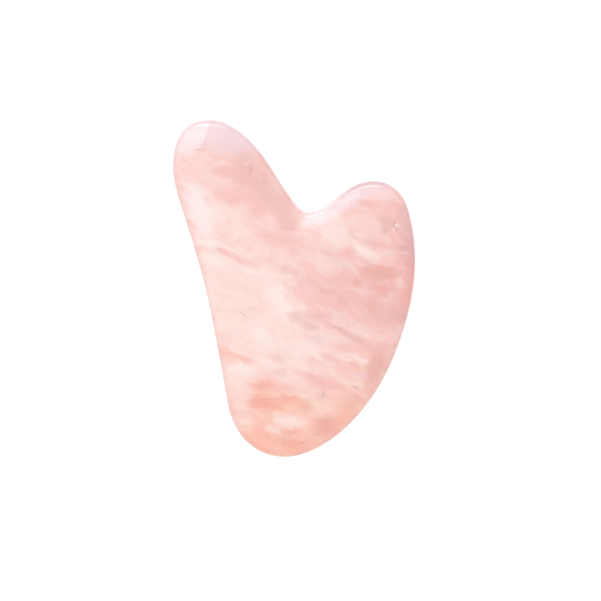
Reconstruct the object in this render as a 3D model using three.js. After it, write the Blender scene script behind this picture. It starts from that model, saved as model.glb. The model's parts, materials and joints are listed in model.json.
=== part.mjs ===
// Gua sha scraper: a hand-held massage stone, carved from a single piece of rose quartz.
//
// Units are millimetres. The stone lies on its lower face: +Z is up through its thickness, +Y runs
// along its length towards the long lobe, and +X runs across it towards the short lobe. The origin
// is on the lower face, in the middle of the outline's length and width.

import * as THREE from "three";

// Driving dimensions

const LENGTH = 85;
const WIDTH = 54;
const THICKNESS = 6.5;

// Each face is flat in the middle and falls away to the edge in a quarter of an ellipse, which
// starts this far in from the edge. A narrow upright band is left between the two ellipses.
const SHOULDER_WIDTH = 6.5;
const EDGE_BAND = 0.5;
const SHOULDER_HEIGHT = (THICKNESS - EDGE_BAND) / 2;

// How finely the curves are cut into flats
const STEPS_PER_STRETCH = 13;
const SHOULDER_STEPS = 7;

const ROSE_QUARTZ_COLOUR = "#fad3cd";

// The outline, walked anticlockwise as seen from above. The edge passes each station on its
// heading, in degrees anticlockwise from +X, and leans on that heading over the distances `before`
// and `after`, which are the arms of the curves on either side.
const OUTLINE_STATIONS = [
  { place: "long lobe crown", x: -17.6, y: LENGTH / 2, heading: 180, before: 10, after: 6.1 },
  { place: "long lobe side", x: -WIDTH / 2, y: 28, heading: 270, before: 7.4, after: 4.4 },
  { place: "long flank waist", x: -25.7, y: 2.4, heading: 270, before: 10.7, after: 10.9 },
  { place: "foot side", x: -WIDTH / 2, y: -27.8, heading: 270, before: 3.9, after: 8.2 },
  { place: "foot bottom", x: -13.2, y: -LENGTH / 2, heading: 0, before: 8.2, after: 8.6 },
  { place: "sweep middle", x: 14.4, y: -25.5, heading: 54, before: 13, after: 13.8 },
  { place: "short lobe side", x: WIDTH / 2, y: 8.2, heading: 90, before: 12.3, after: 7.9 },
  { place: "short lobe crown", x: 17.8, y: 18.5, heading: 180, before: 4.4, after: 5 },
  { place: "notch floor", x: 4, y: 14.5, heading: 180, before: 3.6, after: 2.2 },
  { place: "inner flank", x: -2.2, y: 24.2, heading: 108.5, before: 8.6, after: 4.9 },
];

// The point at the end of a station's arm: ahead of it for a positive reach, behind for a negative.
function armEnd(station, reach) {
  const angle = THREE.MathUtils.degToRad(station.heading);
  return new THREE.Vector2(
    station.x + reach * Math.cos(angle),
    station.y + reach * Math.sin(angle),
  );
}

// One smooth closed curve through the stations.
function heartOutline() {
  const outline = new THREE.Shape();
  outline.moveTo(OUTLINE_STATIONS[0].x, OUTLINE_STATIONS[0].y);
  OUTLINE_STATIONS.forEach((from, index) => {
    const to = OUTLINE_STATIONS[(index + 1) % OUTLINE_STATIONS.length];
    const leaving = armEnd(from, from.after);
    const arriving = armEnd(to, -to.before);
    outline.bezierCurveTo(leaving.x, leaving.y, arriving.x, arriving.y, to.x, to.y);
  });
  return outline;
}

function roseQuartz() {
  return new THREE.MeshStandardMaterial({
    color: ROSE_QUARTZ_COLOUR,
    roughness: 0.12,
    metalness: 0,
  });
}

// The stone is its outline, extruded by the edge band, with the shoulder as a bevel on both sides.
function scraperStone() {
  const geometry = new THREE.ExtrudeGeometry(heartOutline(), {
    depth: EDGE_BAND,
    curveSegments: STEPS_PER_STRETCH,
    bevelEnabled: true,
    bevelThickness: SHOULDER_HEIGHT,
    bevelSize: SHOULDER_WIDTH,
    bevelOffset: -SHOULDER_WIDTH,
    bevelSegments: SHOULDER_STEPS,
  });
  geometry.translate(0, 0, SHOULDER_HEIGHT);
  const stone = new THREE.Mesh(geometry, roseQuartz());
  stone.name = "scraper_stone";
  return stone;
}

const scraper = new THREE.Group();
scraper.add(scraperStone());

export default scraper;
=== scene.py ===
"""A rose quartz gua sha scraper on a pale studio floor, laid out as an add-on and run as a script."""

import json
import math

import bmesh
import bpy
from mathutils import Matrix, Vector

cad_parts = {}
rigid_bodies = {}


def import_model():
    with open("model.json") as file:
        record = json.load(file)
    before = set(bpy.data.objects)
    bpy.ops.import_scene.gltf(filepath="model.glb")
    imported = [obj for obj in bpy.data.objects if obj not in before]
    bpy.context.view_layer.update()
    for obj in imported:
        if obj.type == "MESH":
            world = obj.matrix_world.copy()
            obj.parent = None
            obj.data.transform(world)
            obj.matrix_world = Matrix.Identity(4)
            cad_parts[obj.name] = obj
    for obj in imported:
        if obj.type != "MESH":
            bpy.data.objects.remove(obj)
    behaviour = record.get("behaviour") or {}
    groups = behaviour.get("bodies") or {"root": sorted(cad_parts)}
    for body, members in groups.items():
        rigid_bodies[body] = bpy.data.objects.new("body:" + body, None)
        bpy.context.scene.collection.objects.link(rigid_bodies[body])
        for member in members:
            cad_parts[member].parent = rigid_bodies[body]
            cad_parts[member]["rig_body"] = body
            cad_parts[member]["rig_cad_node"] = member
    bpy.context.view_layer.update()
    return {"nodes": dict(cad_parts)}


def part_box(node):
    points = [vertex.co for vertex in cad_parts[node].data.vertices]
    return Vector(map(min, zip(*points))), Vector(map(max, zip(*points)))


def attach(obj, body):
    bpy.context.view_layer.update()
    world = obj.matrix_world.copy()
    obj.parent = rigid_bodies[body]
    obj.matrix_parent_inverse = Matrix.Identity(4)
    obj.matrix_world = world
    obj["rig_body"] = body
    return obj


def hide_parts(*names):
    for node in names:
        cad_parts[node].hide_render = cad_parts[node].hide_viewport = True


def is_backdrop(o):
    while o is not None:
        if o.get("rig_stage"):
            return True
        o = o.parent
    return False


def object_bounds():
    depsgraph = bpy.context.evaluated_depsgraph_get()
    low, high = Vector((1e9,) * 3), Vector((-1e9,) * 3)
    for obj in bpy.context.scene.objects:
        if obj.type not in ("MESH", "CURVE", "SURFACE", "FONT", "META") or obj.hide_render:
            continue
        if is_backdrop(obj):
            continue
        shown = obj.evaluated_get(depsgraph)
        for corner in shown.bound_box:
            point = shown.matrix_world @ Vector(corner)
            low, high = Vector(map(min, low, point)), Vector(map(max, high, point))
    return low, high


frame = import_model()

bl_info = {
    "name": "Gua Sha Scraper",
    "version": (1, 0, 0),
    "blender": (4, 5, 0),
    "location": "View3D > Sidebar > Gua Sha",
    "description": "A heart-shaped massage stone of polished rose quartz, with its studio",
    "category": "Add Mesh",
}

MM = 0.001
STONE_NODE = "scraper_stone"
STONE_BODY = "root"
STONE_PIECE = "rose_quartz_stone"

STONE_LOW, STONE_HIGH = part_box(STONE_NODE)
STONE_MIDDLE = (STONE_LOW + STONE_HIGH) / 2
HALF_THICKNESS = (STONE_HIGH.z - STONE_LOW.z) / 2

# The stone's growth bands run this way across it, in degrees from its width.
GRAIN = -38

# The studio's up and right, as the camera sees the stone lying in it
CAMERA_TURN = math.radians(-13.53)
UPWARD = Vector((-math.sin(CAMERA_TURN), math.cos(CAMERA_TURN), 0))
RIGHTWARD = Vector((math.cos(CAMERA_TURN), math.sin(CAMERA_TURN), 0))


def tint(red, green, blue):
    """A screen colour, each part from 0 to 255, as the scene-linear colour that a shader takes."""
    parts = []
    for part in (red, green, blue):
        share = part / 255
        if share <= 0.04045:
            parts.append(share / 12.92)
        else:
            parts.append(((share + 0.055) / 1.055) ** 2.4)
    return (*parts, 1)


# Settings that a user would change


class StoneSizes(bpy.types.PropertyGroup):
    """How the stone is ground"""

    edge_band: bpy.props.FloatProperty(
        name="Edge Band",
        description="Height of the upright band that the blank keeps between its two shoulders",
        default=0.5 * MM,
        min=0,
        unit="LENGTH",
    )
    shoulder_width: bpy.props.FloatProperty(
        name="Shoulder Width",
        description="How far in from the edge each face starts to fall away",
        default=6.5 * MM,
        min=0,
        unit="LENGTH",
    )
    shoulder_rings: bpy.props.IntProperty(
        name="Shoulder Rings",
        description="How many rings of faces each shoulder is ground in",
        default=8,
        min=3,
    )
    face_grid: bpy.props.FloatProperty(
        name="Face Grid",
        description="Spacing of the grid that the flat faces are cut into",
        default=2 * MM,
        min=0.5 * MM,
        unit="LENGTH",
    )
    waviness: bpy.props.FloatProperty(
        name="Waviness",
        description="How far the polished surface wanders from true",
        default=0.06 * MM,
        min=0,
        unit="LENGTH",
    )
    pit_lip: bpy.props.FloatProperty(
        name="Pit Lip",
        description="Width of the slope round each tiny pit",
        default=0.1 * MM,
        min=0.01 * MM,
        unit="LENGTH",
    )
    pit_depth: bpy.props.FloatProperty(
        name="Pit Depth",
        description="How deep the tiny pits are",
        default=0.07 * MM,
        min=0,
        unit="LENGTH",
    )


class StoneColours(bpy.types.PropertyGroup):
    """The colours of the quartz, and of the painted light and shade on it"""

    rose: bpy.props.FloatVectorProperty(
        name="Rose",
        description="The even pink that most of the stone has",
        default=tint(250, 211, 205),
        size=4,
        min=0,
        max=1,
        subtype="COLOR",
    )
    milk: bpy.props.FloatVectorProperty(
        name="Milk",
        description="The pale clouds",
        default=tint(252, 231, 225),
        size=4,
        min=0,
        max=1,
        subtype="COLOR",
    )
    petal: bpy.props.FloatVectorProperty(
        name="Petal",
        description="The even, paler pink that veils the bands beside the long flank",
        default=tint(252, 221, 214),
        size=4,
        min=0,
        max=1,
        subtype="COLOR",
    )
    # Frost is also painted reflection: the pale patch on the crown of the long lobe and the pale patches on the
    # short lobe's shoulder by the notch. Elsewhere it is the stone's own whitest clouds.
    frost: bpy.props.FloatVectorProperty(
        name="Frost",
        description="The whitest clouds and cleavage faces",
        default=tint(249, 239, 242),
        size=4,
        min=0,
        max=1,
        subtype="COLOR",
    )
    # Towards the crowns of the lobes, lilac is painted reflection of the cool light above on the shoulders;
    # lower down it is the stone's own cool tint.
    lilac: bpy.props.FloatVectorProperty(
        name="Lilac",
        description="The cool cast towards the crowns of the lobes",
        default=tint(236, 211, 215),
        size=4,
        min=0,
        max=1,
        subtype="COLOR",
    )
    blush: bpy.props.FloatVectorProperty(
        name="Blush",
        description="The deeper pink bands",
        default=tint(241, 187, 181),
        size=4,
        min=0,
        max=1,
        subtype="COLOR",
    )
    salmon: bpy.props.FloatVectorProperty(
        name="Salmon",
        description="The warm patches at the foot and the streak in the flank",
        default=tint(250, 183, 162),
        size=4,
        min=0,
        max=1,
        subtype="COLOR",
    )
    peach: bpy.props.FloatVectorProperty(
        name="Peach",
        description="The warm, paler ground between the patches",
        default=tint(250, 205, 188),
        size=4,
        min=0,
        max=1,
        subtype="COLOR",
    )
    clay: bpy.props.FloatVectorProperty(
        name="Clay",
        description="The tan patches towards the sweep",
        default=tint(231, 173, 159),
        size=4,
        min=0,
        max=1,
        subtype="COLOR",
    )
    ash: bpy.props.FloatVectorProperty(
        name="Ash",
        description="The greyish smears",
        default=tint(233, 187, 181),
        size=4,
        min=0,
        max=1,
        subtype="COLOR",
    )
    # Down the right edge and round the short lobe's crown, mauve is painted shade; in the middle it is the
    # stone's own deeper pink.
    mauve: bpy.props.FloatVectorProperty(
        name="Mauve",
        description="The cool, deep pink along the short lobe's edge",
        default=tint(225, 174, 173),
        size=4,
        min=0,
        max=1,
        subtype="COLOR",
    )
    # Garnet also lays painted shade down the lower right edge.
    garnet: bpy.props.FloatVectorProperty(
        name="Garnet",
        description="The reddest veins",
        default=tint(236, 164, 154),
        size=4,
        min=0,
        max=1,
        subtype="COLOR",
    )
    umber: bpy.props.FloatVectorProperty(
        name="Umber",
        description="The dark threads and specks",
        default=tint(206, 152, 144),
        size=4,
        min=0,
        max=1,
        subtype="COLOR",
    )
    # Slate also lays painted shade round the edges of both crowns.
    slate: bpy.props.FloatVectorProperty(
        name="Slate",
        description="The one bluish speck",
        default=tint(196, 172, 180),
        size=4,
        min=0,
        max=1,
        subtype="COLOR",
    )
    # Painted shade: the colour round the thin edge is multiplied by this to draw the dark line that the rounded
    # edge shows under the studio light.
    edge_shade: bpy.props.FloatVectorProperty(
        name="Rim",
        description="What the pink is multiplied by round the edge, where the stone is seen lengthways",
        default=tint(238, 236, 236),
        size=4,
        min=0,
        max=1,
        subtype="COLOR",
    )


class StudioSettings(bpy.types.PropertyGroup):
    """The light and the floor"""

    sky: bpy.props.FloatProperty(
        name="Sky",
        description="How bright the white room round the stone is",
        default=0.9,
        min=0,
    )


# Small helpers for working by operator


def select_only(piece):
    """Leave one piece selected and active."""
    bpy.ops.object.select_all(action="DESELECT")
    piece.select_set(True)
    bpy.context.view_layer.objects.active = piece


def select_faces(piece, wanted):
    """In edit mode, select the faces that pass the test, and nothing else."""
    bpy.ops.mesh.select_mode(type="FACE")
    bpy.ops.mesh.select_all(action="DESELECT")
    shape = bmesh.from_edit_mesh(piece.data)
    for face in shape.faces:
        face.select_set(wanted(face))
    bmesh.update_edit_mesh(piece.data)


def select_edges(piece, wanted):
    """In edit mode, select the edges that pass the test, and nothing else."""
    bpy.ops.mesh.select_mode(type="EDGE")
    bpy.ops.mesh.select_all(action="DESELECT")
    shape = bmesh.from_edit_mesh(piece.data)
    for edge in shape.edges:
        edge.select_set(wanted(edge))
    bmesh.update_edit_mesh(piece.data)


def apply_modifier(piece, kind, name, **settings):
    """Add a modifier with these settings and apply it at once."""
    modifier = piece.modifiers.new(name, kind)
    for key, value in settings.items():
        setattr(modifier, key, value)
    select_only(piece)
    bpy.ops.object.modifier_apply(modifier=modifier.name)


# The stone


def copy_blank():
    """A copy of the CAD stone that rides on nothing yet."""
    select_only(frame["nodes"][STONE_NODE])
    bpy.ops.object.duplicate()
    stone = bpy.context.active_object
    bpy.ops.object.parent_clear(type="CLEAR_KEEP_TRANSFORM")
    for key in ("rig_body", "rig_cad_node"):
        if key in stone:
            del stone[key]
    stone.name = STONE_PIECE
    stone.data.name = STONE_PIECE
    stone.data.materials.clear()
    return stone


def keep_edge_band(piece, band):
    """Cut the blank down to the upright band that runs round its edge."""
    bpy.ops.mesh.select_all(action="SELECT")
    bpy.ops.mesh.remove_doubles(threshold=0.001 * MM)
    select_faces(
        piece,
        lambda face: abs(face.calc_center_median().z - STONE_MIDDLE.z) > band / 2,
    )
    bpy.ops.mesh.delete(type="FACE")
    bpy.ops.mesh.select_all(action="SELECT")
    bpy.ops.mesh.tris_convert_to_quads()


def grind_shoulder(piece, side, sizes):
    """Close one side of the band and work its face inwards and outwards in elliptical steps."""
    select_edges(
        piece,
        lambda edge: edge.is_boundary
        and all((vert.co.z - STONE_MIDDLE.z) * side > 0 for vert in edge.verts),
    )
    bpy.ops.mesh.edge_face_add()
    bpy.ops.mesh.select_mode(type="FACE")
    shoulder_height = HALF_THICKNESS - sizes.edge_band / 2
    step = math.pi / 2 / sizes.shoulder_rings
    for ring in range(sizes.shoulder_rings):
        inward = math.cos(ring * step) - math.cos((ring + 1) * step)
        outward = math.sin((ring + 1) * step) - math.sin(ring * step)
        bpy.ops.mesh.inset(thickness=sizes.shoulder_width * inward, depth=0)
        bpy.ops.transform.translate(value=(0, 0, side * shoulder_height * outward))
    bpy.ops.mesh.inset(thickness=0.25 * MM, depth=0)


def cut_grid(piece, spacing):
    """Cut the two flat faces along a grid, so that they can take the waviness of a real polish."""
    shape = bmesh.from_edit_mesh(piece.data)
    flat = shape.faces.layers.int.new("flat")
    for face in shape.faces:
        face[flat] = len(face.verts) > 4
    bmesh.update_edit_mesh(piece.data)
    for axis in (0, 1):
        direction = Vector((0, 0, 0))
        direction[axis] = 1
        count = int((STONE_HIGH[axis] - STONE_LOW[axis]) / spacing)
        for line in range(count):
            place = STONE_MIDDLE.copy()
            place[axis] += (line - (count - 1) / 2) * spacing
            select_faces(piece, lambda face: face[shape_layer(piece)] == 1)
            bpy.ops.mesh.bisect(plane_co=place, plane_no=direction)


def shape_layer(piece):
    """The mark that the flat faces carry in edit mode."""
    return bmesh.from_edit_mesh(piece.data).faces.layers.int["flat"]


# Pockets of tiny pits that the polish has left open: the pocket's centre in millimetres across and
# along the stone, its reach both ways, and how many pits it holds
POCKETS = (
    (-15.4, -36.8, 2.7, 1.5, 26),
    (-18.3, -35.4, 1.3, 0.8, 5),
    (-19.6, -33.6, 0.8, 0.5, 3),
    (-12.6, -35.7, 0.9, 0.6, 4),
    (-11.7, -39.3, 0.7, 0.4, 3),
    (-7.7, -38.1, 1, 0.7, 4),
    (-8.2, 28, 0.5, 2.2, 8),
    (22.7, 6.3, 0.7, 1.1, 5),
    (-4.2, -29.2, 0.7, 0.4, 3),
)
GOLDEN_ANGLE = math.radians(137.5)

# What the pit mark says: the floor of a pit is stained dark, or left white with crushed quartz.
STAINED = 1
CRUSHED = -1


def pit_places():
    """Where the pits are, spread evenly but irregularly over each pocket, and what is in them."""
    places = []
    for across, along, reach_across, reach_along, count in POCKETS:
        for pit in range(count):
            share = math.sqrt((pit + 0.3) / count)
            turn = pit * GOLDEN_ANGLE + across
            x = STONE_MIDDLE.x + (across + reach_across * share * math.cos(turn)) * MM
            y = STONE_MIDDLE.y + (along + reach_along * share * math.sin(turn)) * MM
            filling = CRUSHED if pit % 3 == 1 else STAINED
            places.append((Vector((x, y)), filling))
    return places


def open_pits(piece, size, depth):
    """Sink one face of the upper side at each pit, and mark its corners for the material."""
    shape = bmesh.from_edit_mesh(piece.data)
    upper = [face for face in shape.faces if face.normal.z > 0.5]
    centres = [face.calc_center_median().xy for face in upper]
    chosen = {}
    for place, filling in pit_places():
        distances = [(centre - place).length for centre in centres]
        chosen[upper[distances.index(min(distances))].index] = filling
    select_faces(piece, lambda face: face.index in chosen)
    bpy.ops.mesh.inset(thickness=size, depth=-depth, use_individual=True)
    shape = bmesh.from_edit_mesh(piece.data)
    mark = shape.verts.layers.float.new("pit")
    for face in shape.faces:
        if face.select:
            for vert in face.verts:
                vert[mark] = chosen[face.index]
    bmesh.update_edit_mesh(piece.data)


class GUASHA_OT_add_stone(bpy.types.Operator):
    """Grind the stone from the CAD blank: the same outline and size, with smooth shoulders"""

    bl_idname = "guasha.add_stone"
    bl_label = "Scraper Stone"

    def execute(self, context):
        sizes = context.scene.guasha_sizes
        stone = copy_blank()
        bpy.ops.object.mode_set(mode="EDIT")
        keep_edge_band(stone, sizes.edge_band)
        grind_shoulder(stone, 1, sizes)
        grind_shoulder(stone, -1, sizes)
        bpy.ops.mesh.select_all(action="SELECT")
        bpy.ops.mesh.normals_make_consistent(inside=False)
        cut_grid(stone, sizes.face_grid)
        bpy.ops.object.mode_set(mode="OBJECT")
        apply_modifier(
            stone, "SUBSURF", "Smooth Grinding", levels=2, render_levels=2
        )
        wander = bpy.data.textures.new("Polishing Waviness", "CLOUDS")
        wander.noise_scale = 12 * MM
        apply_modifier(
            stone,
            "DISPLACE",
            "Polishing Waviness",
            texture=wander,
            strength=sizes.waviness,
            mid_level=0.5,
        )
        bpy.ops.object.mode_set(mode="EDIT")
        open_pits(stone, sizes.pit_lip, sizes.pit_depth)
        bpy.ops.object.mode_set(mode="OBJECT")
        bpy.ops.object.shade_smooth()
        stone.data.materials.append(quartz_material(context.scene.guasha_colours))
        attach(stone, STONE_BODY)
        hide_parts(STONE_NODE)
        return {"FINISHED"}


# Materials


def add_node(tree, kind, values=None, **settings):
    """Add a node, give it its settings, and feed its inputs with sockets or plain values."""
    node = tree.nodes.new(kind)
    for key, value in settings.items():
        setattr(node, key, value)
    for key, value in (values or {}).items():
        if isinstance(value, bpy.types.NodeSocket):
            tree.links.new(value, node.inputs[key])
        else:
            node.inputs[key].default_value = value
    return node


def calculate(tree, operation, first, second=0.0, clamp=False):
    """The result of one sum."""
    values = {0: first, 1: second}
    return add_node(tree, "ShaderNodeMath", values, operation=operation, use_clamp=clamp).outputs[0]


def combine_vectors(tree, operation, first, second):
    """The result of one sum on two vectors."""
    values = {0: first, 1: second}
    return add_node(tree, "ShaderNodeVectorMath", values, operation=operation).outputs["Vector"]


def ease(tree, value, start, end):
    """A mask that rises smoothly from 0 at the start to 1 at the end."""
    values = {"Value": value, "From Min": start, "From Max": end}
    node = add_node(tree, "ShaderNodeMapRange", values, interpolation_type="SMOOTHSTEP")
    return node.outputs["Result"]


def lay_over(tree, below, above, mask, blend="MIX"):
    """One colour laid over another where the mask is."""
    values = {0: mask, 6: below, 7: above}
    node = add_node(tree, "ShaderNodeMix", values, data_type="RGBA", blend_type=blend)
    return node.outputs[2]


def scale_mask(tree, mask, strength):
    """A mask made weaker."""
    return calculate(tree, "MULTIPLY", mask, strength, clamp=True)


def add_noise(tree, place, scale, detail, roughness=0.5, distortion=0.0):
    """A noise texture."""
    values = {
        "Vector": place,
        "Scale": scale,
        "Detail": detail,
        "Roughness": roughness,
        "Distortion": distortion,
    }
    return add_node(tree, "ShaderNodeTexNoise", values)


def turn_and_stretch(tree, place, turn, stretch):
    """The same places, seen in a frame that is turned about the vertical and stretched."""
    values = {"Vector": place, "Rotation": (0, 0, math.radians(turn)), "Scale": stretch}
    return add_node(tree, "ShaderNodeMapping", values, vector_type="TEXTURE").outputs["Vector"]


def new_group(name, inputs, outputs):
    """An empty node group with named sockets: its tree, and its input and output nodes."""
    tree = bpy.data.node_groups.new(name, "ShaderNodeTree")
    for in_out, sockets in (("INPUT", inputs), ("OUTPUT", outputs)):
        for label, kind, default in sockets:
            socket = tree.interface.new_socket(
                name=label, in_out=in_out, socket_type=f"NodeSocket{kind}"
            )
            if default is not None:
                socket.default_value = default
    return tree, tree.nodes.new("NodeGroupInput"), tree.nodes.new("NodeGroupOutput")


def place_group(tree, group, values):
    """Put a node group in a tree and feed its inputs."""
    return add_node(tree, "ShaderNodeGroup", values, node_tree=group)


def cloud_group():
    """One cloud inside the stone: a soft-edged egg, with its length turned about the vertical."""
    tree, given, result = new_group(
        "Cloud",
        [
            ("Place", "Vector", None),
            ("Centre", "Vector", (0, 0, 0)),
            ("Turn", "Float", 0.0),
            ("Size", "Vector", (1, 1, 1)),
            ("Softness", "Float", 0.5),
        ],
        [("Mask", "Float", None)],
    )
    offset = combine_vectors(tree, "SUBTRACT", given.outputs["Place"], given.outputs["Centre"])
    values = {
        "Vector": offset,
        "Angle": calculate(tree, "MULTIPLY", given.outputs["Turn"], -1.0),
    }
    turned = add_node(tree, "ShaderNodeVectorRotate", values, rotation_type="Z_AXIS")
    shrunk = combine_vectors(tree, "DIVIDE", turned.outputs["Vector"], given.outputs["Size"])
    length = add_node(tree, "ShaderNodeVectorMath", {0: shrunk}, operation="LENGTH")
    outer = calculate(tree, "ADD", 1.0, given.outputs["Softness"])
    inner = calculate(tree, "SUBTRACT", 1.0, given.outputs["Softness"])
    mask = ease(tree, length.outputs["Value"], outer, inner)
    tree.links.new(mask, result.inputs["Mask"])
    return tree


def plane_side_group():
    """All that lies beyond an upright plane through the stone, which gives the painted reflection on the crown
    its straight sides.
    """
    tree, given, result = new_group(
        "Plane Side",
        [
            ("Place", "Vector", None),
            ("Point", "Vector", (0, 0, 0)),
            ("Facing", "Vector", (1, 0, 0)),
            ("Softness", "Float", 0.2),
        ],
        [("Mask", "Float", None)],
    )
    offset = combine_vectors(tree, "SUBTRACT", given.outputs["Place"], given.outputs["Point"])
    values = {0: offset, 1: given.outputs["Facing"]}
    depth = add_node(tree, "ShaderNodeVectorMath", values, operation="DOT_PRODUCT")
    start = calculate(tree, "MULTIPLY", given.outputs["Softness"], -1.0)
    mask = ease(tree, depth.outputs["Value"], start, given.outputs["Softness"])
    tree.links.new(mask, result.inputs["Mask"])
    return tree


def wander_group():
    """Places pushed about by noise, mostly along the growth bands, so that edges look feathered."""
    tree, given, result = new_group(
        "Wander",
        [
            ("Place", "Vector", None),
            ("Stretch", "Vector", (6, 2, 4)),
            ("Along", "Float", 1.0),
            ("Across", "Float", 0.5),
        ],
        [("Place", "Vector", None)],
    )
    grain = turn_and_stretch(tree, given.outputs["Place"], GRAIN, (1, 1, 1))
    shrunk = combine_vectors(tree, "DIVIDE", grain, given.outputs["Stretch"])
    noise = add_noise(tree, shrunk, 1.0, 2.0, 0.5)
    centred = combine_vectors(tree, "SUBTRACT", noise.outputs["Color"], (0.5, 0.5, 0.5))
    reach = add_node(
        tree,
        "ShaderNodeCombineXYZ",
        {
            "X": given.outputs["Along"],
            "Y": given.outputs["Across"],
            "Z": given.outputs["Across"],
        },
    )
    push = combine_vectors(tree, "MULTIPLY", centred, reach.outputs["Vector"])
    turned = turn_and_stretch(tree, push, -GRAIN, (1, 1, 1))
    moved = combine_vectors(tree, "ADD", given.outputs["Place"], turned)
    tree.links.new(moved, result.inputs["Place"])
    return tree


def new_material(name):
    """An empty material, with its tree and its Principled shader."""
    material = bpy.data.materials.new(name)
    material.use_nodes = True
    tree = material.node_tree
    tree.nodes.clear()
    shader = tree.nodes.new("ShaderNodeBsdfPrincipled")
    output = tree.nodes.new("ShaderNodeOutputMaterial")
    tree.links.new(shader.outputs["BSDF"], output.inputs["Surface"])
    return material, tree, shader


# The clouds, streaks and marks in the stone, with some painted highlights, reflections and shade among them,
# from the broadest to the smallest. Each one is its colour, its centre in millimetres across and along the
# stone, its half length and half width, its turn from the stone's width in degrees, and how strongly it shows.
BROAD_CLOUDS = (
    ("milk", -15, -5, 14, 11, -60, 0.65),
    ("milk", -19, 14, 9, 6, 80, 0.2),
    ("blush", -5, 24, 11, 5.5, -60, 0.6),
    ("ash", -4, 24.5, 11, 4, -60, 0.6),
    ("blush", -10, 22, 6, 4, -60, 0.35),
    ("blush", 15, -6, 15, 13, -50, 0.85),
    # Painted shade: the deeper band down the right edge, the side turned from the light
    ("blush", 24, 2, 14, 4.5, 85, 0.85),
    ("milk", 9, 9, 7, 5, -15, 0.4),
    # Painted reflection of the cool light above on the long lobe's crown
    ("lilac", -14, 38.5, 10, 4.5, -14, 0.8),
    ("milk", -21, -21, 8, 5, 85, 0.15),
    ("peach", -14, -32, 14, 7.5, -13, 0.85),
    ("salmon", -17, -38.5, 15, 5.5, -8, 0.85),
    ("peach", 3, -30, 13, 5.5, 42, 0.75),
    ("blush", 17, -18, 14, 5, 57, 0.8),
    ("ash", 13, -8, 13, 8, -42, 0.5),
    # Painted shade down the right edge
    ("mauve", 25.6, 0, 12, 2.6, 88, 0.7),
    ("blush", 19.5, -16, 10, 3, 60, 0.6),
    ("blush", 13, -13.5, 7, 3.5, -20, 0.6),
)
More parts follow.
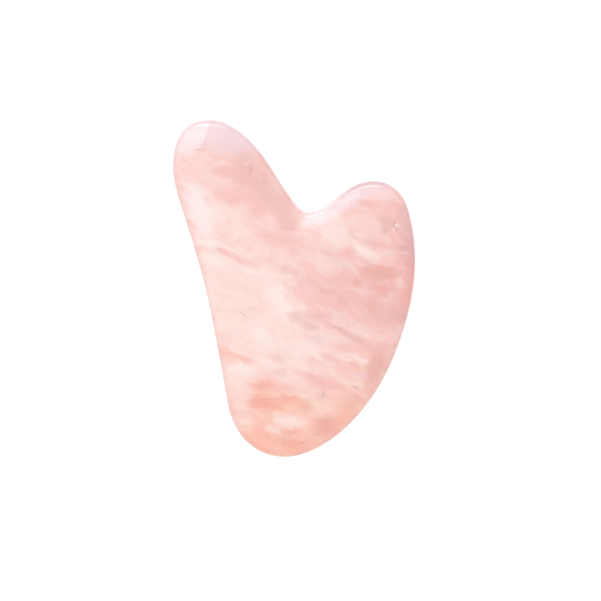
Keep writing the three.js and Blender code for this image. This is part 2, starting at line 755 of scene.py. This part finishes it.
CLOUDS = (
    # The veil beside the flank
    ("petal", -16.5, -6, 14, 7.5, -72, 0.55),
    ("petal", -13, 13, 8, 5, -40, 0.2),
    ("petal", -20.5, -20, 6, 4.5, -80, 0.45),
    # Long lobe
    # Painted reflection of the cool light above on the long lobe's crown, in lilac
    ("lilac", -13.5, 37.9, 3.6, 2.2, -14, 0.5),
    ("lilac", -9, 35, 4, 2.2, -50, 0.6),
    ("lilac", -9, 33.4, 4, 2.6, -50, 0.4),
    ("lilac", -12.5, 34.3, 5, 2.2, -20, 0.35),
    ("ash", -9.6, 29.8, 2.4, 2.6, -30, 0.5),
    ("blush", -14.8, 28.6, 2.8, 1.3, -15, 0.5),
    ("ash", -10.4, 25.8, 3, 1.2, -20, 0.45),
    ("ash", -7.3, 26.8, 4.5, 6, 0, 0.4),
    ("ash", -3.4, 18, 6.5, 2.6, -57, 0.6),
    ("peach", -23, 31.2, 2.5, 1.4, 0, 0.15),
    ("blush", -14.7, 22.6, 3, 1.8, -20, 0.5),
    # Painted highlight: the pale strip down the left shoulder, which faces the light, drawn as milky cloud down
    # to the middle of the flank
    ("frost", -22.6, 21.5, 6.5, 2.4, -84, 0.65),
    ("milk", -21.6, 22, 7, 3.4, -84, 0.4),
    ("milk", -21.5, 17, 5, 2.4, -84, 0.4),
    ("milk", -12, 12, 7, 1.2, -34, 0.3),
    ("milk", -12.5, 17.5, 3, 2, -20, 0.4),
    ("blush", -8.6, 17.6, 1.8, 1.6, -30, 0.6),
    ("ash", -2.6, 13, 2.8, 1.6, -24, 0.6),
    ("blush", -7.6, 10, 3.4, 1.8, -38, 0.55),
    ("blush", -11.2, 16.2, 2.6, 1.6, -30, 0.35),
    ("blush", -2.9, 9, 3.5, 1.8, -38, 0.5),
    ("milk", -4.5, 4.5, 2.6, 1.4, -38, 0.3),
    # Flank
    # Painted highlight: the next three carry the pale strip on the left shoulder on down the flank
    ("milk", -22.5, 12.8, 4, 1, -20, 0.8),
    ("milk", -22.2, 8.6, 3.2, 1.8, -40, 0.8),
    ("milk", -23.6, 4.4, 3.4, 1.6, -80, 0.4),
    ("milk", -14.5, 4.2, 4, 0.7, -35, 0.6),
    ("frost", -9.6, -2.8, 2.2, 1.9, -20, 0.4),
    ("milk", -9.4, -3.8, 2.6, 2.2, -60, 0.8),
    ("milk", -8, -8, 3.4, 2, -80, 0.6),
    ("milk", -15, -12.2, 3, 1.8, -60, 0.7),
    ("milk", -14.6, -18.8, 3, 1.6, -30, 0.5),
    ("ash", -4.8, 1.9, 1.9, 1.1, -20, 0.4),
    # Short lobe
    # Painted reflection: the frost and lilac on the short lobe's upper shoulder, beside the notch and along its
    # crown
    ("frost", 7.4, 13.2, 4, 1.8, 16, 0.55),
    ("frost", 3.4, 12.4, 3, 1.4, 0, 0.45),
    ("lilac", 13.5, 15.2, 5, 1.6, 22, 0.7),
    ("lilac", 15.5, 14.2, 2, 1.2, 0, 0.7),
    ("blush", 17.8, 13, 2.6, 0.9, -18, 0.8),
    ("lilac", 22, 14.5, 3, 2, -40, 0.4),
    ("lilac", 18.5, 16.6, 5, 1.4, 0, 0.6),
    ("frost", 13.5, 15.4, 3, 1, 22, 0.3),
    ("peach", 13, 11.1, 2, 1.1, -20, 0.3),
    ("rose", 16.5, 7.5, 3.4, 2.4, -20, 0.6),
    ("milk", 8.1, 8, 3.8, 2.4, -40, 0.6),
    ("milk", 13.6, 5.2, 3, 1.4, -30, 0.3),
    ("milk", 13.8, 2, 3.6, 1.4, -42, 0.8),
    ("milk", 19, 0.4, 3, 1, -20, 0.4),
    ("ash", 20.7, 7.9, 1.5, 1.9, 0, 0.7),
    ("ash", 20.4, 5.6, 1, 1.6, -40, 0.6),
    ("ash", 15.4, 4, 1.8, 0.9, -30, 0.5),
    # Painted shade down the right edge
    ("mauve", 25.3, 1.5, 2, 8, 0, 0.6),
    ("blush", 10.5, 2.4, 1.4, 1.8, 10, 0.6),
    # Middle and sweep
    ("clay", 16.4, -4.2, 4.8, 1.6, -19, 0.75),
    ("clay", 10.2, -5, 1.4, 1.4, 0, 0.5),
    ("milk", 4.6, 0.4, 3.6, 1.8, -30, 0.4),
    ("blush", 8.5, -2.6, 4, 1.6, -25, 0.4),
    ("ash", -1.6, -2.4, 2.4, 1.5, -15, 0.5),
    ("blush", -1.5, -6.3, 3, 1.4, -25, 0.5),
    ("ash", 3.2, -5.4, 2.6, 0.7, -35, 0.9),
    ("blush", 4.5, -7, 4.5, 2, -30, 0.6),
    ("ash", -6, -9.3, 1.7, 1.3, -20, 0.5),
    ("ash", -1, -10.4, 3.2, 1.5, -25, 0.6),
    ("ash", -3.3, -12.2, 2.4, 0.9, -35, 0.6),
    ("garnet", 16.2, -8, 2.4, 1.2, -20, 0.4),
    ("garnet", 17, -15.6, 5, 2, -20, 0.3),
    ("mauve", 16, -14.4, 5.5, 1.8, -18, 0.45),
    ("garnet", 21.4, -12.4, 4, 1.6, 62, 0.3),
    # Painted shade down the lower right edge
    ("garnet", 23.6, -8, 1.8, 6, -10, 0.35),
    ("clay", 12.7, -11.4, 3, 1.3, -25, 0.5),
    ("clay", 6, -8, 0.9, 1.2, 0, 0.4),
    ("milk", 20.6, -7.3, 1.1, 1.2, 0, 0.3),
    ("lilac", 5, -11.7, 2, 1.2, -30, 0.25),
    # Below the middle
    ("lilac", -1.4, -16.4, 2.8, 1.2, -14, 0.4),
    ("milk", -5.5, -18.5, 5, 2.4, -20, 0.45),
    ("milk", 3, -17.4, 3.6, 0.9, -30, 0.45),
    ("ash", 3.6, -14.8, 3, 0.7, -38, 0.8),
    ("ash", 6.6, -17.8, 3.6, 1.1, -38, 0.7),
    ("blush", 4.6, -19.6, 3.4, 1.6, -30, 0.5),
    ("blush", 9.6, -20.8, 2.4, 1.2, -20, 0.5),
    ("clay", 5.5, -24.1, 1.7, 0.8, -25, 0.6),
    ("blush", 3.6, -25.6, 3, 1.8, -30, 0.5),
    ("blush", 0, -21.3, 2.6, 1, -40, 0.6),
    ("blush", -4.5, -20.8, 2.6, 1, -30, 0.4),
    ("milk", 7, -23, 3, 0.5, -40, 0.6),
    ("clay", 10, -26, 4.8, 2.2, 58, 0.7),
    ("blush", -2.5, -27, 4.5, 1.4, -28, 0.7),
    ("milk", 3.4, -28.2, 2.2, 0.8, -30, 0.3),
    ("lilac", 6, -26.8, 1.6, 1, -30, 0.4),
    ("blush", -6.6, -24, 2.8, 1, -30, 0.55),
    ("blush", -12.8, -18.2, 1.8, 0.9, -35, 0.4),
    ("ash", -12.6, -21.4, 1.6, 1.1, -30, 0.3),
    # The streak that comes in from the flank
    ("salmon", -25, -13.4, 2.2, 1.4, -50, 0.4),
    ("salmon", -22.4, -15.4, 3.2, 0.8, -33, 0.55),
    ("garnet", -19.8, -17, 2.4, 0.6, -27, 0.28),
    ("peach", -23, -16.4, 2.4, 0.6, -33, 0.6),
    ("milk", -21.5, -18.8, 3.2, 1.4, -14, 0.7),
    # Foot
    ("peach", -16, -27.2, 7, 4, -14, 0.35),
    ("salmon", -17.6, -24.2, 3.4, 1.9, -10, 0.55),
    ("salmon", -10.6, -30.2, 3.2, 1.5, -24, 0.35),
    ("salmon", -18.7, -27.9, 3.4, 2.1, -20, 0.7),
    ("salmon", -15, -28.6, 5.8, 1.5, -14, 0.55),
    ("garnet", -17.6, -23.8, 2.4, 1, -10, 0.4),
    ("garnet", -19.2, -27.2, 2.8, 1.3, -14, 0.45),
    ("garnet", -16.6, -29.2, 2.6, 0.7, -14, 0.4),
    ("garnet", -12, -28.3, 2.8, 0.8, -14, 0.45),
    ("blush", -13.3, -25.6, 2.4, 0.9, -14, 0.5),
    ("milk", -10.8, -23.6, 2.6, 1.3, -30, 0.45),
    ("clay", -8.3, -31, 1.6, 1.7, 0, 0.5),
    ("milk", -24, -24.5, 5, 2.2, -80, 0.3),
    ("milk", -4, -32, 2, 1.5, -10, 0.3),
    ("milk", -13.6, -33.8, 3.4, 1.5, -22, 0.65),
    ("milk", -12, -34.4, 1.7, 0.9, -30, 0.3),
    ("milk", -17.6, -34.6, 2, 1.1, -20, 0.5),
    ("salmon", -16.5, -39.5, 6.5, 2, -10, 0.7),
    ("salmon", -22, -36, 3.4, 2.2, -50, 0.4),
    ("garnet", -14.8, -38.7, 3, 1.2, -14, 0.25),
    ("peach", -7.6, -36, 1.8, 3, 20, 0.7),
    ("garnet", -4.9, -37, 3.4, 2.6, -20, 0.65),
    ("salmon", 0.6, -35.6, 4.4, 1.8, 32, 0.7),
    ("clay", 1.2, -32, 3.6, 2, 10, 0.3),
    ("peach", -3, -31.6, 4, 2, 0, 0.4),
)


# Thin veins and small marks, in the same terms
MARKS = (
    ("umber", -19.2, 35.2, 1.3, 0.2, -8, 0.28),
    ("frost", -8.4, 29.3, 0.7, 0.3, 0, 0.25),
    ("umber", -7.9, 28.6, 0.4, 1, 0, 0.25),
    ("blush", -14.6, 29.2, 1.9, 0.9, -20, 0.5),
    ("umber", -17.1, 29.2, 0.3, 0.4, 0, 0.2),
    ("garnet", -18.8, 9.7, 2.4, 0.8, -40, 0.25),
    ("umber", -19.6, 10.4, 1.3, 0.3, -38, 0.12),
    ("garnet", -15.9, 6.8, 2.2, 0.8, -46, 0.25),
    ("milk", -17.6, 10.2, 3, 0.3, -40, 0.7),
    ("milk", -18, 7.6, 3, 0.35, -42, 0.6),
    ("umber", -2.2, 11.5, 1.7, 0.4, -22, 0.2),
    ("umber", 12.4, 6, 1.3, 0.25, -47, 0.35),
    ("garnet", 18.2, -3.3, 2.6, 0.35, -20, 0.5),
    ("garnet", 18.7, -7.6, 1, 0.6, -20, 0.3),
    ("garnet", 16.4, -7.8, 0.4, 0.4, 0, 0.4),
    ("umber", -18, -6, 1.1, 0.2, -50, 0.3),
    ("umber", -5.6, -9.8, 1.4, 0.35, -46, 0.15),
    ("umber", -2.6, -13, 1.4, 0.5, -44, 0.1),
    ("umber", 4.2, -15.2, 1.4, 0.4, -38, 0.12),
    ("umber", 8, -18.8, 2, 0.8, -38, 0.14),
    ("slate", -4.2, -29.3, 1.3, 0.8, -14, 0.3),
    ("umber", 4.4, -29.5, 1, 0.35, -38, 0.3),
    ("umber", 20, 6.4, 0.5, 1, -10, 0.2),
    ("garnet", 22.9, 7.2, 0.45, 0.4, 0, 0.9),
    ("frost", 23, 6.4, 0.4, 0.35, 0, 0.5),
    ("frost", 22.1, 5.6, 0.35, 0.3, 0, 0.4),
    ("milk", 23.4, -0.6, 1, 0.3, -10, 0.3),
    ("umber", 23.1, 0.7, 1.3, 0.2, -13, 0.4),
    ("frost", -24, -7.7, 0.6, 0.4, 0, 0.4),
    ("garnet", -18.2, -25.8, 2, 0.2, -12, 0.35),
    ("garnet", -17, -27.2, 2.4, 0.2, -12, 0.4),
    ("garnet", -19, -28.6, 2, 0.2, -12, 0.4),
    ("garnet", -17.4, -30, 1.6, 0.2, -12, 0.3),
    ("garnet", -13.6, -29, 1.8, 0.2, -12, 0.35),
)

# Painted light and shade in the thin edge, in the same terms: painted shade round the crowns and down the right
# edge, and painted highlight by the notch
EDGE_LIGHT_AND_SHADE = (
    ("lilac", -17, 40, 12, 6, -10, 0.6),
    ("slate", -17, 38, 12, 9, -10, 0.22),
    ("slate", 18, 17.5, 6, 3, 0, 0.7),
    ("mauve", 18, 17.5, 6, 3, 0, 0.3),
    ("frost", 3.5, 15, 4.5, 3.4, 0, 0.5),
    ("frost", 9.5, 16.5, 4.5, 3, 33, 0.6),
    ("mauve", 26.5, 3, 10, 2.4, 90, 0.15),
    ("garnet", 25, -9, 8, 2.4, 80, 0.45),
)


# The painted light and shade of the edge starts this far above and below the middle of the thickness, and is
# whole from here inwards.
EDGE_FACE = 2.15 * MM
EDGE_CORE = 1 * MM


def stone_places(tree):
    """Where a point lies in the stone, in millimetres from the middle of its upper half."""
    coordinates = add_node(tree, "ShaderNodeTexCoord").outputs["Object"]
    middle = (STONE_MIDDLE.x, STONE_MIDDLE.y, STONE_MIDDLE.z)
    centred = combine_vectors(tree, "SUBTRACT", coordinates, middle)
    millimetres = (1 / MM, 1 / MM, 1 / MM)
    return combine_vectors(tree, "MULTIPLY", centred, millimetres)


def lay_clouds(tree, colour, clouds, colours, place, group, softness, within=None):
    """Lay a list of clouds over the colour, one after another, all of them within a mask."""
    for name, across, along, half_length, half_width, turn, strength in clouds:
        values = {
            "Place": place,
            "Centre": (across, along, 2),
            "Turn": math.radians(turn),
            "Size": (half_length, half_width, max(half_width, 6)),
            "Softness": softness,
        }
        cloud = place_group(tree, group, values)
        mask = scale_mask(tree, cloud.outputs["Mask"], strength)
        if within:
            mask = calculate(tree, "MULTIPLY", mask, within)
        colour = lay_over(tree, colour, getattr(colours, name), mask)
    return colour


def grow_bands(tree, place, colour, colours):
    """Growth bands, from broad ones to a faint granulation, and the grains between fractures."""
    for stretch, milky, deep in (
        ((16, 6, 8), 0.4, 0.4),
        ((6, 3, 5), 0.3, 0.42),
        ((2.4, 1.6, 2.5), 0.11, 0.21),
        ((0.9, 0.8, 0.9), 0.07, 0.13),
    ):
        stretched = turn_and_stretch(tree, place, GRAIN, stretch)
        noise = add_noise(tree, stretched, 1.0, 3.0, 0.6, 0.6).outputs["Fac"]
        pale_mask = scale_mask(tree, ease(tree, noise, 0.5, 0.72), milky)
        deep_mask = scale_mask(tree, ease(tree, noise, 0.5, 0.28), deep)
        colour = lay_over(tree, colour, colours.milk, pale_mask)
        colour = lay_over(tree, colour, colours.blush, deep_mask)
    stretched = turn_and_stretch(tree, place, GRAIN, (3.4, 2.2, 3))
    grains = add_node(tree, "ShaderNodeTexVoronoi", {"Vector": stretched, "Scale": 1.0})
    shade = add_node(tree, "ShaderNodeSeparateColor", {"Color": grains.outputs["Color"]})
    pale_mask = scale_mask(tree, ease(tree, shade.outputs["Red"], 0.5, 1.0), 0.15)
    deep_mask = scale_mask(tree, ease(tree, shade.outputs["Red"], 0.5, 0.0), 0.26)
    colour = lay_over(tree, colour, colours.milk, pale_mask)
    return lay_over(tree, colour, colours.blush, deep_mask)


def paint_crown_reflection(tree, colour, colours, place, plane_side):
    """A painted reflection of the light above on the crown of the long lobe: a pale patch with straight sides,
    like a milky internal face.
    """
    sides = (
        ((-16.7, 38.5, 0), (-0.88, 0.47, 0), 0.25),
        ((-18.5, 35.9, 0), (-0.64, 0.77, 0), 0.4),
        ((-22, 35, 0), (-0.1, 1, 0), 2.2),
    )
    mask = 1.0
    for point, facing, softness in sides:
        values = {"Place": place, "Point": point, "Facing": facing, "Softness": softness}
        side = place_group(tree, plane_side, values).outputs["Mask"]
        mask = calculate(tree, "MULTIPLY", mask, side)
    colour = lay_over(tree, colour, colours.frost, scale_mask(tree, mask, 0.52))
    return colour


def edge_mask(tree):
    """The thin edge, where one looks along the stone's thickness, which takes the painted edge shade."""
    coordinates = add_node(tree, "ShaderNodeTexCoord").outputs["Object"]
    height = add_node(tree, "ShaderNodeSeparateXYZ", {"Vector": coordinates}).outputs["Z"]
    from_middle = calculate(tree, "SUBTRACT", height, STONE_MIDDLE.z)
    distance = calculate(tree, "ABSOLUTE", from_middle)
    return ease(tree, distance, EDGE_FACE, EDGE_CORE)


def quartz_material(colours):
    """Polished rose quartz: milky clouds drawn out along its growth bands, veins and flecks, with painted shade
    along its thin edge and painted reflections and highlights on its shoulders.
    """
    material, tree, shader = new_material("Rose Quartz")
    place = stone_places(tree)
    cloud = cloud_group()
    plane_side = plane_side_group()
    wander = wander_group()

    def wandering(stretch, along, across, start=place):
        values = {"Place": start, "Stretch": stretch, "Along": along, "Across": across}
        return place_group(tree, wander, values).outputs["Place"]

    broad = wandering((7, 4, 5), 7, 4)
    combed = wandering((3.4, 1.7, 3), 3.4, 1.8)
    feathered = wandering((1.3, 0.8, 1.3), 1.4, 1, combed)
    crisp = wandering((1.5, 0.6, 1.5), 0.8, 0.3)

    colour = add_node(tree, "ShaderNodeRGB").outputs["Color"]
    colour.default_value = colours.rose
    colour = lay_clouds(tree, colour, BROAD_CLOUDS, colours, broad, cloud, 0.6)
    colour = grow_bands(tree, combed, colour, colours)
    colour = lay_clouds(tree, colour, CLOUDS, colours, feathered, cloud, 0.6)
    colour = paint_crown_reflection(tree, colour, colours, crisp, plane_side)
    colour = lay_clouds(tree, colour, MARKS, colours, crisp, cloud, 0.8)
    edge = edge_mask(tree)
    # Painted shade along the thin edge, then painted light and shade at the crowns, by the notch and down the
    # right edge
    colour = lay_over(tree, colour, colours.edge_shade, edge, "MULTIPLY")
    colour = lay_clouds(tree, colour, EDGE_LIGHT_AND_SHADE, colours, broad, cloud, 0.4, within=edge)

    pits = add_node(tree, "ShaderNodeAttribute", attribute_name="pit").outputs["Fac"]
    stained = scale_mask(tree, pits, 0.8 * STAINED)
    crushed = scale_mask(tree, pits, 0.35 * CRUSHED)
    colour = lay_over(tree, colour, colours.umber, stained)
    colour = lay_over(tree, colour, colours.frost, crushed)
    smudges = add_noise(tree, place, 0.15, 3.0, 0.6).outputs["Fac"]
    smudged = ease(tree, smudges, 0.3, 0.7)
    polish = calculate(tree, "MULTIPLY", smudged, 0.08)
    broken = calculate(tree, "MULTIPLY", calculate(tree, "ADD", stained, crushed), 0.4)
    roughness = calculate(tree, "ADD", calculate(tree, "ADD", polish, 0.08), broken)
    ripple = add_noise(tree, place, 0.7, 2.0, 0.5).outputs["Fac"]
    values = {"Height": ripple, "Strength": 1.0, "Distance": 0.002 * MM}
    bump = add_node(tree, "ShaderNodeBump", values)

    tree.links.new(colour, shader.inputs["Base Color"])
    tree.links.new(roughness, shader.inputs["Roughness"])
    tree.links.new(bump.outputs["Normal"], shader.inputs["Normal"])
    shader.inputs["IOR"].default_value = 1.544
    shader.inputs["Subsurface Weight"].default_value = 0.3
    shader.inputs["Subsurface Radius"].default_value = (1, 0.45, 0.4)
    shader.inputs["Subsurface Scale"].default_value = 0.7 * MM
    return material


def floor_material():
    """Matt white paper that glows a little, so that it stays white right up to the stone."""
    material, tree, shader = new_material("White Paper")
    shader.inputs["Base Color"].default_value = (0.9, 0.9, 0.9, 1)
    shader.inputs["Roughness"].default_value = 1
    shader.inputs["Specular IOR Level"].default_value = 0
    shader.inputs["Emission Color"].default_value = (1, 1, 1, 1)
    shader.inputs["Emission Strength"].default_value = 0.35
    return material


# The studio


def add_softbox(name, target, bearing, elevation, distance, size, radiance, colour):
    """Hang a rectangular softbox that faces the target. The bearing is anticlockwise from the studio's right."""
    turn = math.radians(bearing)
    rise = math.radians(elevation)
    level = RIGHTWARD * math.cos(turn) + UPWARD * math.sin(turn)
    towards = level * math.cos(rise) + Vector((0, 0, math.sin(rise)))
    bpy.ops.object.light_add(type="AREA", location=target + towards * distance)
    light = bpy.context.active_object
    light.name = name
    light.rotation_euler = towards.to_track_quat("Z", "Y").to_euler()
    light.visible_camera = False
    light.data.shape = "RECTANGLE"
    light.data.size, light.data.size_y = size
    light.data.energy = radiance * math.pi * size[0] * size[1]
    light.data.color = colour
    return light


def light_room(sky):
    """White walls all round, which the camera sees at full white."""
    world = bpy.data.worlds.new("White Room")
    bpy.context.scene.world = world
    world.use_nodes = True
    tree = world.node_tree
    tree.nodes.clear()
    path = tree.nodes.new("ShaderNodeLightPath")
    level = add_node(
        tree,
        "ShaderNodeMix",
        {0: path.outputs["Is Camera Ray"], 2: sky, 3: 1.0},
        data_type="FLOAT",
    )
    background = add_node(
        tree,
        "ShaderNodeBackground",
        {"Color": (1, 1, 1, 1), "Strength": level.outputs[0]},
    )
    output = tree.nodes.new("ShaderNodeOutputWorld")
    tree.links.new(background.outputs["Background"], output.inputs["Surface"])


class GUASHA_OT_add_studio(bpy.types.Operator):
    """Lay the floor, hang the lights and set up the camera straight above the stone"""

    bl_idname = "guasha.add_studio"
    bl_label = "Studio"

    def execute(self, context):
        settings = context.scene.guasha_studio
        lowest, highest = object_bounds()
        bpy.ops.object.select_all(action="DESELECT")
        bpy.ops.mesh.primitive_plane_add(size=6, location=(0, 0, lowest.z))
        floor = context.active_object
        floor.name = "floor"
        floor.data.materials.append(floor_material())
        floor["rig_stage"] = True
        light_room(settings.sky)
        add_softbox("Key", STONE_MIDDLE, 95, 21, 0.5, (0.34, 0.08), 4.0, (0.97, 0.97, 1))
        add_softbox("Canopy", STONE_MIDDLE, 118, 52, 0.5, (0.4, 0.25), 0.8, (0.95, 0.94, 1))
        add_softbox("Foot Fill", STONE_MIDDLE, 245, 42, 0.5, (0.3, 0.25), 0.7, (1, 0.96, 0.93))
        aim = Vector((-3.81 * MM, -5.92 * MM, STONE_MIDDLE.z))
        bpy.ops.object.camera_add(
            location=aim + Vector((0, 0, 407 * MM)), rotation=(0, 0, CAMERA_TURN)
        )
        camera = context.active_object
        camera.name = "Camera"
        camera.data.lens = 100
        camera.data.sensor_width = 36
        camera.data.clip_start = 0.01
        context.scene.camera = camera
        context.scene.view_settings.view_transform = "Standard"
        return {"FINISHED"}


# The sidebar


class GUASHA_PT_sidebar(bpy.types.Panel):
    """Lists the piece, the studio and their settings"""

    bl_idname = "GUASHA_PT_sidebar"
    bl_label = "Gua Sha Scraper"
    bl_space_type = "VIEW_3D"
    bl_region_type = "UI"
    bl_category = "Gua Sha"

    def draw(self, context):
        layout = self.layout
        for operator, settings in (
            (GUASHA_OT_add_stone, context.scene.guasha_sizes),
            (GUASHA_OT_add_stone, context.scene.guasha_colours),
            (GUASHA_OT_add_studio, context.scene.guasha_studio),
        ):
            for name in settings.__annotations__:
                layout.prop(settings, name)
            layout.operator(operator.bl_idname)


CLASSES = (
    StoneSizes,
    StoneColours,
    StudioSettings,
    GUASHA_OT_add_stone,
    GUASHA_OT_add_studio,
    GUASHA_PT_sidebar,
)


def register():
    for cls in CLASSES:
        bpy.utils.register_class(cls)
    bpy.types.Scene.guasha_sizes = bpy.props.PointerProperty(type=StoneSizes)
    bpy.types.Scene.guasha_colours = bpy.props.PointerProperty(type=StoneColours)
    bpy.types.Scene.guasha_studio = bpy.props.PointerProperty(type=StudioSettings)


def unregister():
    del bpy.types.Scene.guasha_studio
    del bpy.types.Scene.guasha_colours
    del bpy.types.Scene.guasha_sizes
    for cls in reversed(CLASSES):
        bpy.utils.unregister_class(cls)


def main():
    register()
    bpy.ops.guasha.add_stone()
    bpy.ops.guasha.add_studio()


if __name__ == "__main__":
    main()
